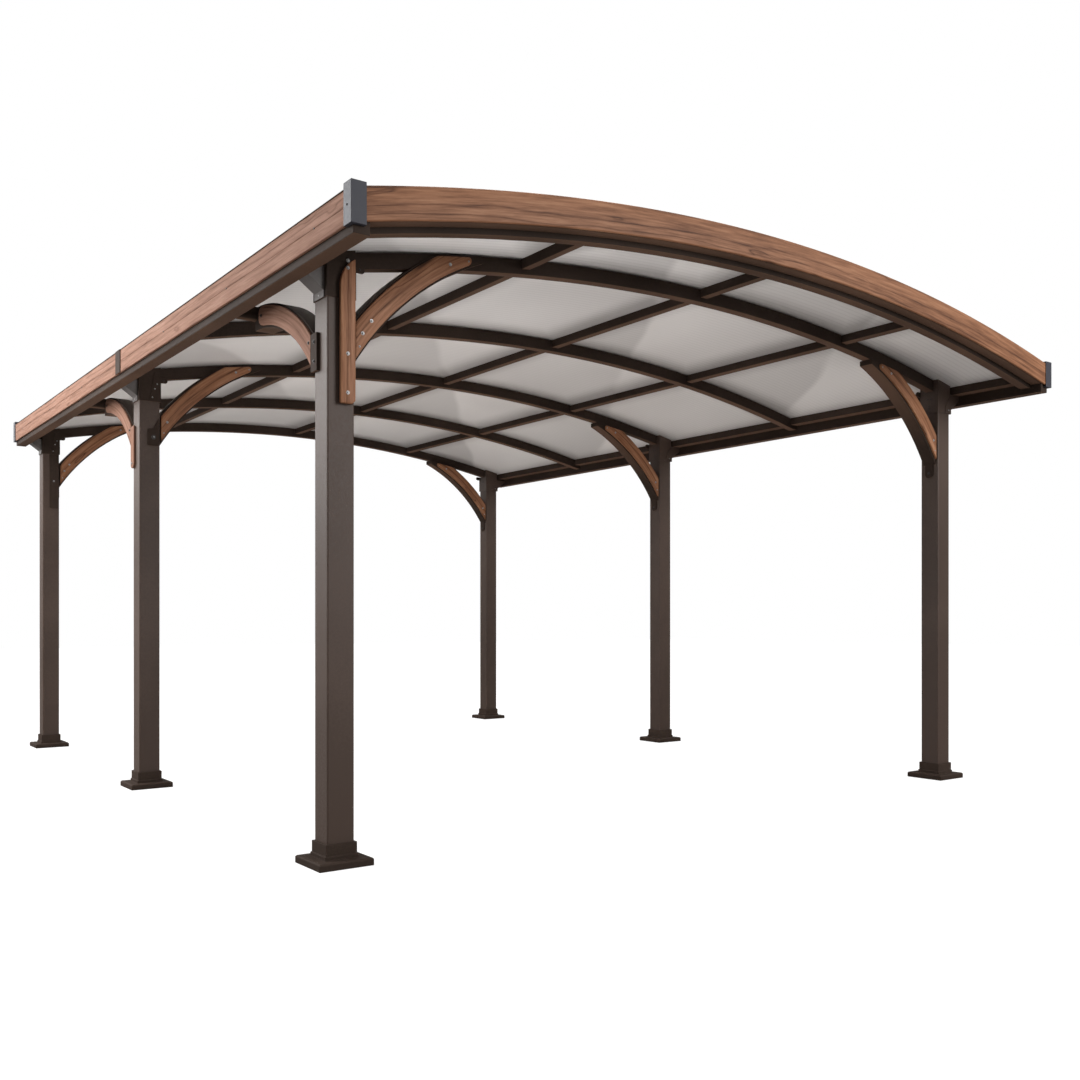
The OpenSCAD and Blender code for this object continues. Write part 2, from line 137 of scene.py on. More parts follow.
def noiseAt(tree, place, stretch, detail, roughness=0.5):
    scaled = put(tree, "VectorMath", {0: place, 1: stretch}, operation="MULTIPLY").outputs[0]
    sockets = {"Vector": scaled, "Scale": 1.0, "Detail": detail, "Roughness": roughness}
    return put(tree, "TexNoise", sockets).outputs["Fac"]


def newGroup(name, inputs, outputs):
    group = bpy.data.node_groups.new(name, "ShaderNodeTree")
    for label, kind in inputs:
        group.interface.new_socket(label, in_out="INPUT", socket_type="NodeSocket" + kind)
    for label, kind in outputs:
        group.interface.new_socket(label, in_out="OUTPUT", socket_type="NodeSocket" + kind)
    return group, group.nodes.new("NodeGroupInput"), group.nodes.new("NodeGroupOutput")


def useGroup(tree, group, place):
    node = tree.nodes.new("ShaderNodeGroup")
    node.node_tree = group
    tree.links.new(place, node.inputs["Place"])
    return node.outputs


# Grain of a sawn board: soft bands, growth rings cut lengthwise that bend round a few knots, streaks, pores.
# Place holds metres along the board, across it and into it.
grainValues = {
    "ringPitch": 0.0085,  # metres between growth rings
    "pith": (-0.030, 0.070),  # metres from the board's middle to the tree's heart
    "waver": 0.055,  # metres that the rings wander along the board
    "knotTurn": 2.4,  # rings that a knot bends aside
    "waverPitch": (1.5, 6.0, 6.0),
    "bandPitch": (0.8, 14.0, 14.0),
    "streakPitch": (4.2, 82.0, 82.0),
    "knotPitch": (3.0, 14.0, 14.0),
    "porePitch": (14.0, 620.0, 620.0),
    "knotFrom": (0.63, 0.80),  # noise between which a knot sets in
    "bandFrom": (0.25, 0.75),
    "streakFrom": (0.28, 0.72),
    "streakRough": 0.68,
    "poreFrom": (0.60, 0.72),
    "ringPower": 5.0,  # each ring stays pale, then closes with a thin dark line
    "tone": 0.58,  # tone before bands, streaks, lines and knots
    "weights": {"band": 0.34, "streak": 0.76, "line": -0.42, "knot": -0.34},
}


def buildWoodGrain(values):
    group, given, out = newGroup(
        "woodGrain", [("Place", "Vector")], [("Tone", "Float"), ("Pore", "Float")])
    place = given.outputs["Place"]
    weights = values["weights"]
    knot = ranged(group, noiseAt(group, place, values["knotPitch"], 1.0), *values["knotFrom"], 0.0, 1.0, True)
    waver = noiseAt(group, place, values["waverPitch"], 3.0)
    split = put(group, "SeparateXYZ", {0: place}).outputs
    shift = maths(group, "MULTIPLY", maths(group, "SUBTRACT", waver, 0.5), values["waver"])
    across = maths(group, "ADD", maths(group, "SUBTRACT", split[1], values["pith"][0]), shift)
    inward = maths(group, "SUBTRACT", split[2], values["pith"][1])
    squares = maths(group, "ADD", maths(group, "POWER", across, 2.0), maths(group, "POWER", inward, 2.0))
    turns = maths(group, "DIVIDE", maths(group, "SQRT", squares), values["ringPitch"])
    line = maths(group, "PINGPONG", maths(group, "MULTIPLY_ADD", knot, values["knotTurn"], turns), 1.0)
    line = maths(group, "POWER", line, values["ringPower"])
    band = ranged(group, noiseAt(group, place, values["bandPitch"], 2.0), *values["bandFrom"], -0.5, 0.5)
    streak = noiseAt(group, place, values["streakPitch"], 5.0, values["streakRough"])
    streak = ranged(group, streak, *values["streakFrom"], -0.5, 0.5)
    tone = maths(group, "MULTIPLY_ADD", band, weights["band"], values["tone"])
    for share, weight in ((streak, weights["streak"]), (line, weights["line"]), (knot, weights["knot"])):
        tone = maths(group, "MULTIPLY_ADD", share, weight, tone)
    pore = ranged(group, noiseAt(group, place, values["porePitch"], 2.0), *values["poreFrom"], 0.0, 1.0, True)
    group.links.new(maths(group, "ADD", tone, 0.0, clamp=True), out.inputs["Tone"])
    group.links.new(pore, out.inputs["Pore"])
    return group


# Powder coat: a slow drift of tone and the fine orange peel of the baked film
coatValues = {
    "driftPitch": (1.9, 1.9, 1.3),
    "peelPitch": (420.0, 420.0, 420.0),
    "fleckPitch": (95.0, 95.0, 95.0),
    "fleckRough": 0.7,
    "driftFrom": (0.3, 0.7),  # noise between which the drift runs from none to full
    "fleckFrom": (0.35, 0.65),
}


def buildCoatGrain(values):
    group, given, out = newGroup(
        "coatGrain", [("Place", "Vector")], [("Drift", "Float"), ("Peel", "Float"), ("Fleck", "Float")])
    place = given.outputs["Place"]
    drift = noiseAt(group, place, values["driftPitch"], 3.0)
    drift = ranged(group, drift, *values["driftFrom"], 0.0, 1.0, True)
    fleck = noiseAt(group, place, values["fleckPitch"], 3.0, values["fleckRough"])
    fleck = ranged(group, fleck, *values["fleckFrom"], 0.0, 1.0)
    group.links.new(drift, out.inputs["Drift"])
    group.links.new(noiseAt(group, place, values["peelPitch"], 2.0), out.inputs["Peel"])
    group.links.new(fleck, out.inputs["Fleck"])
    return group


woodGrain = buildWoodGrain(grainValues)
coatGrain = buildCoatGrain(coatValues)


def newMaterial(name, plain):
    material = bpy.data.materials.new(name)
    material.use_nodes = True
    tree = material.node_tree
    shader = tree.nodes["Principled BSDF"]
    for label, value in plain.items():
        shader.inputs[label].default_value = value
    return material, tree, shader


def objectPlace(tree):
    return put(tree, "TexCoord").outputs["Object"]


# How far a face looks up, from -1 to 1, in the object's own frame
def upwardPart(tree):
    return put(tree, "SeparateXYZ", {0: put(tree, "TexCoord").outputs["Normal"]}).outputs[2]


def bumped(tree, shader, height, strength, distance):
    node = put(tree, "Bump", {"Height": height, "Strength": strength, "Distance": distance})
    tree.links.new(node.outputs["Normal"], shader.inputs["Normal"])


# Painted metals: two tones of one colour, a roughness range and the depth of the orange peel
paintValues = {
    "brown_steel": {
        "dark": (0.055, 0.0355, 0.0270, 1), "light": (0.087, 0.0585, 0.0460, 1),
        "foot": 1.5,  # metres above the floor where painted shade starts to darken the paint downwards, by the photo
        "rough": (0.42, 0.54), "peel": 0.00012, "plain": {"Specular IOR Level": 0.22},
    },
    # painted shade: the posts' paint made darker for the rest of the frame, which lies mostly in shade
    "frame_brown_painted_shade": {
        "dark": (0.030, 0.0205, 0.0158, 1), "light": (0.050, 0.0345, 0.0272, 1),
        "under": (0.150, 0.088, 0.060, 1),  # painted bounce light: warmer and lighter on the faces that look down, by the photo
        "rough": (0.60, 0.72), "peel": 0.00012, "plain": {"Specular IOR Level": 0.05},
    },
    "grey_cap": {
        "dark": (0.032, 0.032, 0.041, 1), "light": (0.046, 0.046, 0.057, 1),
        "rough": (0.46, 0.56), "peel": 0.00010, "plain": {"Specular IOR Level": 0.24},
    },
    "grey_strap": {
        "dark": (0.100, 0.088, 0.083, 1), "light": (0.150, 0.134, 0.127, 1),
        "rough": (0.40, 0.52), "peel": 0.00010, "plain": {"Specular IOR Level": 0.36},
    },
    "zinc_bolt": {
        "dark": (0.24, 0.235, 0.23, 1), "light": (0.42, 0.41, 0.40, 1),
        "rough": (0.40, 0.56), "peel": 0.00006, "plain": {"Metallic": 1.0},
    },
    "dark_bolt": {
        "dark": (0.016, 0.013, 0.012, 1), "light": (0.036, 0.031, 0.029, 1),
        "rough": (0.34, 0.46), "peel": 0.00006, "plain": {"Metallic": 0.35},
    },
}
filmValues = {
    "fleck": 0.35,  # weights of fleck and drift between the two tones
    "drift": 0.65,
    "footShade": -0.8,  # change of the weight at the floor, painted shade
    "bounceLightFrom": (-0.9, -0.6),  # upward part of a face, from full painted bounce light to none
    "underLeast": 0.6,  # share of the painted bounce light, and what the drift adds to it
    "underDrift": 0.3,
    "bump": 0.5,
}


def paintedMetal(name, values, film):
    material, tree, shader = newMaterial(name, values["plain"])
    place = objectPlace(tree)
    coat = useGroup(tree, coatGrain, place)
    share = maths(tree, "MULTIPLY", coat["Drift"], film["drift"])
    share = maths(tree, "MULTIPLY_ADD", coat["Fleck"], film["fleck"], share)
    # painted shade: the paint darkens towards the floor
    if "foot" in values:
        rise = put(tree, "SeparateXYZ", {0: place}).outputs[2]
        shade = ranged(tree, rise, 0.0, values["foot"], film["footShade"], 0.0)
        share = maths(tree, "ADD", share, shade, clamp=True)
    colour = mixed(tree, share, values["dark"], values["light"])
    # painted light: faces that look down take a warmer, lighter tone, as bounce light from the floor
    if "under" in values:
        full = maths(tree, "MULTIPLY_ADD", coat["Drift"], film["underDrift"], film["underLeast"])
        down = ranged(tree, upwardPart(tree), *film["bounceLightFrom"], full, 0.0)
        colour = mixed(tree, down, colour, values["under"])
    tree.links.new(colour, shader.inputs["Base Color"])
    low, high = values["rough"]
    tree.links.new(ranged(tree, coat["Fleck"], 0.0, 1.0, low, high), shader.inputs["Roughness"])
    bumped(tree, shader, coat["Peel"], film["bump"], values["peel"])
    return material


# Wood-look boards: colours of the streaks from dark to pale, pores, and a satin film over them
woodValues = {
    "tones": ((0.0, (0.058, 0.0220, 0.0100, 1)), (0.32, (0.150, 0.0610, 0.0285, 1)),
              (0.65, (0.255, 0.1130, 0.0560, 1)), (1.0, (0.360, 0.1780, 0.0950, 1))),
    "pore": (0.055, 0.023, 0.013, 1),
    "poreShare": 0.30,
    "rough": (0.50, 0.60),
    "relief": 0.0003,  # metres
    "bump": 0.45,
    "plain": {"Specular IOR Level": 0.18},
}
braceWoodValues = {  # paler tones for the knee boards and the batten, by the photo: painted light that makes up for the shade under the roof
    **woodValues,
    "tones": ((0.0, (0.072, 0.0290, 0.0140, 1)), (0.32, (0.190, 0.0800, 0.0390, 1)),
              (0.65, (0.315, 0.1430, 0.0730, 1)), (1.0, (0.430, 0.2160, 0.1180, 1))),
}
sideWoodValues = {  # calmer, paler and greyer tones and a duller film for the boards along the sides, by the photo: the tones carry a painted sheen
    **woodValues,
    "tones": ((0.0, (0.118, 0.0590, 0.0390, 1)), (0.32, (0.206, 0.1080, 0.0740, 1)),
              (0.65, (0.272, 0.1480, 0.1040, 1)), (1.0, (0.336, 0.1930, 0.1400, 1))),
    "rough": (0.62, 0.72),
    "plain": {"Specular IOR Level": 0.05},
}


def woodBoard(name, values):
    material, tree, shader = newMaterial(name, values["plain"])
    place = put(tree, "Attribute", attribute_name="grain").outputs["Vector"]
    grain = useGroup(tree, woodGrain, place)
    ramp = put(tree, "ValToRGB", {"Fac": grain["Tone"]})
    stops = ramp.color_ramp.elements
    while len(stops) < len(values["tones"]):
        stops.new(0.5)
    for stop, (position, colour) in zip(stops, values["tones"]):
        stop.position = position
        stop.color = colour
    pores = maths(tree, "MULTIPLY", grain["Pore"], values["poreShare"])
    colour = mixed(tree, pores, ramp.outputs["Color"], values["pore"])
    tree.links.new(colour, shader.inputs["Base Color"])
    low, high = values["rough"]
    tree.links.new(ranged(tree, grain["Tone"], 0.0, 1.0, high, low), shader.inputs["Roughness"])
    height = maths(tree, "SUBTRACT", grain["Tone"], grain["Pore"])
    bumped(tree, shader, height, values["bump"], values["relief"])
    return material


# Twin-wall roof sheet: milky grey that lets light through, flutes across the roof, painted shade along the
# frame and, by the photo, slanting panes of painted highlight with one crisp side
sheetValues = {
    "clear": (0.94, 0.915, 0.90, 1),
    # shade is the dark end of the tone: for the painted shade along the frame, the panes and the webs
    "shade": (0.46, 0.44, 0.43, 1),
    "top": (0.40, 0.39, 0.385, 1),  # the side that faces the sky, darker than the underside: painted shade against the light from above
    "flute": 0.032,  # metres from web to web
    "web": 0.0064,  # metres from a web's middle to where its shade ends
    "webShade": -0.16,  # change of tone over a web, seen from below
    "webTop": 0.4,  # share of the shade over a web, seen from above
    "edge": (0.02, 0.22),  # metres from a rib's or purlin's middle between which its painted shade fades
    "middle": 0.78,  # tone beyond the shade
    "bay": 1.125,  # metres from rib to rib
    "purlin": 1.0,  # metres from purlin to purlin
    "slant": 0.7,  # slope of the panes of painted highlight: metres across the roof for each metre along it
    "pane": 1.30,  # metres across the roof from pane to pane
    "paneWaver": 0.3,  # metres that a pane's side wanders
    "paneRise": 0.05,  # share of a pane that its crisp side takes
    "paneShares": (0.62, 0.16),  # strongest and weakest step of tone at a pane's side
    "paneFrom": (0.35, 0.65),  # cloud between which the step goes from strongest to weakest
    "cloudPitch": (0.9, 0.7, 1.0),
    "cloudFrom": (0.3, 0.7),  # cloud between which the slow drift of tone runs
    "cloudShare": 0.08,
    "topFrom": (0.0, 0.3),  # upward part of a face between which the top side's tone sets in
    "bump": 0.25,
    "relief": 0.0006,  # metres
    "rough": (0.52, 0.40),
    "plain": {"Transmission Weight": 0.5, "IOR": 1.3, "Specular IOR Level": 0.3},
}


def twinWall(name, values):
    material, tree, shader = newMaterial(name, values["plain"])
    place = objectPlace(tree)
    split = put(tree, "SeparateXYZ", {0: place}).outputs
    # painted shade along the ribs and purlins
    fromRib = maths(tree, "PINGPONG", maths(tree, "SUBTRACT", split[1], postRows[0]), values["bay"] / 2)
    fromPurlin = maths(tree, "PINGPONG", split[0], values["purlin"] / 2)
    near = maths(tree, "MINIMUM", fromRib, fromPurlin)
    inner = ranged(tree, near, *values["edge"], 0.0, values["middle"], True)
    cloud = noiseAt(tree, place, values["cloudPitch"], 1.0)
    # painted highlights: slanting panes of paler tone, each with one crisp side
    slope = maths(tree, "MULTIPLY_ADD", split[1], -values["slant"], split[0])
    slope = maths(tree, "MULTIPLY_ADD", cloud, values["paneWaver"], slope)
    saw = maths(tree, "FRACT", maths(tree, "DIVIDE", slope, values["pane"]))
    rise = ranged(tree, saw, 0.0, values["paneRise"], -0.5, 0.5, True)
    fall = ranged(tree, saw, values["paneRise"], 1.0, 0.5, -0.5)
    pane = maths(tree, "MINIMUM", rise, fall)
    strength = ranged(tree, cloud, *values["paneFrom"], *values["paneShares"])
    drift = ranged(tree, cloud, *values["cloudFrom"], values["cloudShare"], -values["cloudShare"], True)
    patch = maths(tree, "MULTIPLY_ADD", pane, strength, drift)
    web = maths(tree, "PINGPONG", split[1], values["flute"] / 2)
    web = ranged(tree, web, 0.0, values["web"], 1.0, 0.0, True)
    patch = maths(tree, "MULTIPLY_ADD", web, values["webShade"], patch)
    share = maths(tree, "ADD", inner, patch, clamp=True)
    below = mixed(tree, share, values["shade"], values["clear"])
    # painted shade: the face that looks up takes the darker top tone
    above = mixed(tree, maths(tree, "MULTIPLY", web, values["webTop"]), values["top"], values["shade"])
    colour = mixed(tree, ranged(tree, upwardPart(tree), *values["topFrom"], 0.0, 1.0), below, above)
    tree.links.new(colour, shader.inputs["Base Color"])
    tree.links.new(ranged(tree, share, 0.0, 1.0, *values["rough"]), shader.inputs["Roughness"])
    bumped(tree, shader, web, values["bump"], values["relief"])
    return material


paints = {name: paintedMetal(name, values, filmValues) for name, values in paintValues.items()}
woodMaterial = woodBoard("wood_look_board", woodValues)
braceWoodMaterial = woodBoard("wood_look_brace_board_painted_light", braceWoodValues)
sideWoodMaterial = woodBoard("wood_look_side_board_painted_sheen", sideWoodValues)
sheetMaterial = twinWall("twin_wall_sheet", sheetValues)
print("materials made")


# Faces of a tube: quads between neighbouring rings, closed round each ring, and one face on either end
def tubeFaces(count, ring, start):
    step, turn = np.meshgrid(np.arange(count - 1), np.arange(ring), indexing="ij")
    after = (turn + 1) % ring
    corners = [step * ring + turn, step * ring + after, (step + 1) * ring + after, (step + 1) * ring + turn]
    quads = np.stack(corners, -1).reshape(-1, 4) + start
    ends = [list(range(start, start + ring)), list(range(start + (count - 1) * ring, start + count * ring))]
    return quads.tolist() + ends


creaseAngle = 35.0  # degrees above which an edge stays sharp


# One object out of several tubes; grain holds each point's place along, across and into its board
def addPiece(name, tubes, material, grains=None, stands=()):
    faces = []
    start = 0
    for tube in tubes:
        faces += tubeFaces(tube.shape[0], tube.shape[1], start)
        start += tube.shape[0] * tube.shape[1]
    mesh = bpy.data.meshes.new(name)
    mesh.from_pydata(np.concatenate([tube.reshape(-1, 3) for tube in tubes]), [], faces)
    shell = bmesh.new()
    shell.from_mesh(mesh)
    bmesh.ops.recalc_face_normals(shell, faces=shell.faces)
    shell.to_mesh(mesh)
    shell.free()
    if grains:
        layer = mesh.attributes.new("grain", "FLOAT_VECTOR", "POINT")
        layer.data.foreach_set("vector", np.concatenate([g.reshape(-1, 3) for g in grains]).ravel())
    mesh.shade_smooth()
    mesh.set_sharp_from_angle(angle=math.radians(creaseAngle))
    mesh.materials.append(material)
    piece = bpy.data.objects.new(name, mesh)
    bpy.context.scene.collection.objects.link(piece)
    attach(piece, "root")
    if stands:
        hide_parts(*stands)


barValues = {
    "endSteps": 5,  # stations over the rounding of an end
    "cornerSteps": 4,  # points round a corner
    "least": 0.05,  # smallest half width at an end, as a share of the rounding
}


# Stations along a board: close together over the rounding of either end, even between
def stations(start, end, count, radius):
    turn = radius * (1 - np.cos(np.linspace(0, math.pi / 2, barValues["endSteps"])))
    even = np.linspace(start + radius, end - radius, count)[1:-1]
    return np.concatenate([start + turn, even, end - turn[::-1]])


# Rings of a bar with rounded edges: at each station a rectangle about its middle, with a quarter
# circle at each corner, drawn in by the same rounding near the bar's two ends
def barRings(along, middleA, halfA, middleB, halfB, radius):
    steps = barValues["cornerSteps"]
    fromEnd = np.clip(np.minimum(along - along[0], along[-1] - along), 0, radius)
    inset = radius - np.sqrt(radius**2 - (radius - fromEnd) ** 2)
    angle = (np.linspace(0, math.pi / 2, steps) + np.arange(4)[:, None] * math.pi / 2).ravel()
    corner = np.repeat(np.array([(1, 1), (-1, 1), (-1, -1), (1, -1)]), steps, axis=0)
    inwards = radius * (np.stack([np.cos(angle), np.sin(angle)], 1) - corner)
    sides = []
    for axis, middle, half in ((0, middleA, halfA), (1, middleB, halfB)):
        reach = np.maximum(half - inset, radius * barValues["least"])
        fit = np.minimum(1, reach / radius)
        sides.append((middle + 0 * along)[:, None] + corner[:, axis] * reach[:, None]
                     + inwards[:, axis] * fit[:, None])
    return sides[0], sides[1]


# Front and back boards: a rounded bar carried along the arch, its ends cut upright
archBoardValues = {
    "edge": 0.005, "count": 90,
    "lot": {"front_fascia": 3.1, "back_fascia": 21.7},  # place in the grain
}


def archBoard(name, node, values):
    low, high = nodeBox(node)
    span = stations(-1.0, 1.0, values["count"], values["edge"] / high[0])
    depth, height = barRings(
        span * high[0], (low[1] + high[1]) / 2, (high[1] - low[1]) / 2 + 0 * span,
        -boardHeight / 2, boardHeight / 2 + 0 * span, values["edge"])
    radius = archRadius + height
    angle = span[:, None] * np.arcsin(high[0] / radius)
    points = np.stack([radius * np.sin(angle), depth, archCentre + radius * np.cos(angle)], -1)
    grain = np.stack([archRadius * angle + values["lot"][node], height, depth - low[1]], -1)
    addPiece(name, [points], woodMaterial, [grain], [node])


archBoard("front_arch_board", "front_fascia", archBoardValues)
archBoard("back_arch_board", "back_fascia", archBoardValues)


# Side boards: two lengths a side, with a fine groove along the middle of the outer face
sideBoardValues = {
    "edge": 0.003, "count": 24,
    "groove": 0.0032, "grooveDepth": 0.0012,  # metres
    "grooveShare": 0.50,  # of the board's height
    "lips": (-1.0, -0.35, 0.35, 1.0),  # of half the groove's width: upper and lower ends of its two walls
    "gap": 0.018,  # metres between the two lengths
    "lot": {-1: 40.3, 1: 61.9},  # place in the grain, on the left and on the right
    "lotStep": 7.3,  # from one length to the next
}


def sideBoard(name, node, side, values):
    low, high = nodeBox(node)
    points = []
    grains = []
    cut = low[2] + values["grooveShare"] * (high[2] - low[2])
    lips = np.array(values["lips"]) * values["groove"] / 2
    depths = np.array([0.0, 1.0, 1.0, 0.0]) * values["grooveDepth"]
    for number, (start, end) in enumerate(((low[1], -values["gap"] / 2), (values["gap"] / 2, high[1]))):
        along = stations(start, end, values["count"], values["edge"])
        across, height = barRings(
            along, (low[0] + high[0]) / 2, (high[0] - low[0]) / 2 + 0 * along,
            (low[2] + high[2]) / 2, (high[2] - low[2]) / 2 + 0 * along, values["edge"])
        face = across.max(1) if side > 0 else across.min(1)
        lineX = face[:, None] - side * depths
        lineZ = cut + lips + 0 * lineX
        # the groove joins the ring between its lower and upper corner on the outer face
        if side > 0:
            across = np.concatenate([across, lineX], 1)
            height = np.concatenate([height, lineZ], 1)
        else:
            places = [2 * barValues["cornerSteps"]] * len(lips)
            across = np.insert(across, places, lineX, 1)
            height = np.insert(height, places, lineZ[:, ::-1], 1)
        spread = along[:, None] + 0 * across
        points.append(np.stack([across, spread, height], -1))
        lot = values["lot"][side] + values["lotStep"] * number
        grains.append(np.stack([spread + lot, height - cut, side * (across - low[0])], -1))
    addPiece(name, points, sideWoodMaterial, grains, [node])


sideBoard("left_side_board", "left_fascia", -1, sideBoardValues)
sideBoard("right_side_board", "right_fascia", 1, sideBoardValues)


# Trim along the side boards' top: a thin bar with rounded edges from end to end
trimValues = {"up": 0.0026, "over": 0.002, "edge": 0.0009, "endGap": 0.001, "count": 12}  # metres


def sideTrim(values):
    bars = []
    for node in ("left_fascia", "right_fascia"):
        low, high = nodeBox(node)
        start, end = low[1] + values["endGap"], high[1] - values["endGap"]
        along = stations(start, end, values["count"], values["edge"])
        across, height = barRings(
            along, (low[0] + high[0]) / 2, (high[0] - low[0]) / 2 + values["over"] + 0 * along,
            high[2] + values["up"] / 2, values["up"] / 2 + 0 * along, values["edge"])
        bars.append(np.stack([across, along[:, None] + 0 * across, height], -1))
    addPiece("side_board_trims", bars, paints["frame_brown_painted_shade"])


sideTrim(trimValues)
print("fascia boards made")


# Boards on the braces: upright slices between two arcs about one centre, under what the brace carries
kneeRadius = 1.25  # metres, to the middle of the brace
kneeSlope = math.radians(55)  # the brace's slope where it leaves the post
kneeValues = {
    "radius": kneeRadius,
    "centre": kneeRadius * math.sin(kneeSlope),  # metres from the post's face to the arc's centre
    "reach": 0.56,  # metres from the post's face
    "blunt": 0.026,  # metres, height of the blunt upper end
    "lot": {-1: 80.1, 1: 93.4},  # place in the grain, for the left and the right row
    "lotStep": 1.9,  # from one post to the next
    "fork": {-1: 0.054, 1: 0.0},  # metres that the brace rises beside the rib
}
sideKneeValues = {
    "radius": 0.765, "centre": 0.56, "reach": 0.56, "blunt": 0.092,  # metres
    "lot": 120.2, "lotStep": 2.3,
}
braceValues = {
    "depth": 0.092,
    "thickness": 0.012,
    "margin": 0.008,  # metres of steel left bare along the board
    "tip": 0.060,  # metres of steel left bare at the upper end
    "round": 0.014,  # metres, of the corners at the upper end
    "roundMost": 0.45,  # of the height there
    "edge": 0.003,
    "count": 46,
}
sideBraceValues = {**braceValues, "round": 0.034}


# A brace's arc: inner and outer radius, the centre's distance from the post, and the centre's height
def braceForm(values, top):
    inner = values["radius"] - braceValues["depth"] / 2
    drop = math.sqrt(inner**2 - (values["centre"] - values["reach"]) ** 2)
    return {"inner": inner, "outer": inner + braceValues["depth"], "centre": values["centre"],
            "reach": values["reach"], "height": top - values["blunt"] - drop}


def arcHeight(form, reach, radius):
    return form["height"] + np.sqrt(radius**2 - (form["centre"] - reach) ** 2)


def archUnder(x, radius):
    return archCentre + np.sqrt(radius**2 - x**2)


kneeTop = archUnder(postIn - kneeValues["reach"], ribUnder)
kneeForms = {side: braceForm(kneeValues, kneeTop + fork) for side, fork in kneeValues["fork"].items()}
sideForm = braceForm(sideKneeValues, nodeBox("left_side_braces")[1][2])


# Lower and upper edge of a knee brace at a reach, drawn in by a margin
def kneeEdges(side, reach, margin):
    form = kneeForms[side]
    roof = archUnder(postIn - reach, ribUnder + kneeValues["fork"][side] - margin)
    low = arcHeight(form, reach, form["inner"] + margin)
    return low, np.minimum(arcHeight(form, reach, form["outer"] - margin), roof)


def sideEdges(reach, margin):
    low = arcHeight(sideForm, reach, sideForm["inner"] + margin)
    return low, arcHeight(sideForm, reach, sideForm["outer"] - margin)


# Rings of one board: thick runs out of the face, height up the slice; its grain follows the arc
def braceBoard(form, edges, lot, values):
    reach = stations(values["margin"], form["reach"] - values["tip"], values["count"], values["round"])
    low, high = edges(reach, values["margin"])
    radius = min(values["round"], values["roundMost"] * (high[-1] - low[-1]))
    fromTip = np.clip(reach[-1] - reach, 0, radius)
    corner = radius - np.sqrt(radius**2 - (radius - fromTip) ** 2)
    low, high = low + corner, high - corner
    half = values["thickness"] / 2
    thick, height = barRings(
        reach, half, half + 0 * reach, (low + high) / 2, (high - low) / 2, values["edge"])
    run = reach[:, None] + 0 * height
    fromCentre = np.hypot(form["centre"] - run, height - form["height"])
    angle = np.arctan2(height - form["height"], form["centre"] - run)
    middle = (form["inner"] + form["outer"]) / 2
    grain = np.stack([form["inner"] * angle + lot, fromCentre - middle, thick], -1)
    return run, thick, height, grain


def kneeBoards(name, node, side, values):
    face = nodeBox(node)[0][1] - postRows[0]  # the boards' front face, from the post's middle
    points = []
    grains = []
    for number, row in enumerate(postRows):
        run, thick, height, grain = braceBoard(
            kneeForms[side], lambda reach, margin: kneeEdges(side, reach, margin),
            kneeValues["lot"][side] + kneeValues["lotStep"] * number, values)
        points.append(np.stack([side * (postIn - run), row + face + thick, height], -1))
        grains.append(grain)
    addPiece(name, points, braceWoodMaterial, grains, [node])


kneeBoards("left_knee_boards", "left_brace_boards", -1, braceValues)
kneeBoards("right_knee_boards", "right_brace_boards", 1, braceValues)


# Leg below the middle side brace: an upright bar whose foot is a half circle
legValues = {
    "width": 0.056, "drop": 0.095, "sunk": 0.0012,  # metres
    "lot": 111.0,
    "footFrom": 0.2,  # radians, where the rings of the half circle start
    "footCount": 14, "count": 20,
}


def legMiddle():
    return postRows[1] + postHalf + 2 * braceValues["margin"] - legValues["width"] / 2


def legRings(outer, values):
    half = values["width"] / 2
    foot, head = sideEdges(0.0, 0.0)
    foot = foot - values["drop"]
    head = head - braceValues["margin"]
    turn = foot + half * (1 - np.cos(np.linspace(values["footFrom"], math.pi / 2, values["footCount"])))
    along = np.concatenate([turn, np.linspace(foot + half, head, values["count"])[1:]])
    width = np.sqrt(half**2 - np.clip(half - (along - foot), 0, half) ** 2)
    depth = braceValues["thickness"] - values["sunk"]
    thick, across = barRings(
        along, outer + values["sunk"] + depth / 2, depth / 2 + 0 * along,
        legMiddle(), width, braceValues["edge"])
    rise = along[:, None] + 0 * across
    grain = np.stack([rise + values["lot"], across - legMiddle(), thick - outer], -1)
    return np.stack([thick, across, rise], -1), grain


def sideBraceBoards(values):
    outer = nodeBox("left_side_brace_boards")[0][0]
    points = []
    grains = []
    for number, row in enumerate(postRows[:2]):
        run, thick, height, grain = braceBoard(
            sideForm, sideEdges, sideKneeValues["lot"] + sideKneeValues["lotStep"] * number, values)
        points.append(np.stack([outer + thick, row + postHalf + run, height], -1))
        grains.append(grain)
    leg, legGrain = legRings(outer, legValues)
    addPiece("left_side_knee_boards", points + [leg], sideWoodMaterial,
             grains + [legGrain], ["left_side_brace_boards"])


sideBraceBoards(sideBraceValues)


# Front batten: an upright bar with a quarter-round outer shoulder and a chamfered inner foot
battenValues = {
    "edge": 0.003, "width": 0.058, "height": 0.532,  # metres
    "taper": 0.012, "inset": 0.005, "headGap": 0.001,
    "shoulder": 2,  # radius of the shoulder, in widths
    "lot": 140.0, "count": 60,
}


def cornerBatten(values):
    low, high = nodeBox("front_left_batten")
    width = values["width"]
    shoulder = values["shoulder"] * width
    top = low[2] + values["height"]
    along = stations(low[2], high[2] - values["headGap"], values["count"], values["edge"])
    inner = np.maximum(0, values["taper"] - (along - low[2]))
    above = np.clip(along - (top - shoulder), 0, shoulder)
    outer = width - shoulder + np.sqrt(shoulder**2 - above**2)
    thick, across = barRings(
        along, (low[1] + high[1]) / 2, (high[1] - low[1]) / 2 + 0 * along,
        (inner + outer) / 2, (outer - inner) / 2, values["edge"])
    rise = along[:, None] + 0 * across
    points = np.stack([-(postIn + values["inset"] + across), thick, rise], -1)
    grain = np.stack([rise + values["lot"], across - width / 2, thick - low[1]], -1)
    addPiece("front_left_corner_batten", [points], braceWoodMaterial,
             [grain], ["front_left_batten"])


cornerBatten(battenValues)
print("brace boards and batten made")


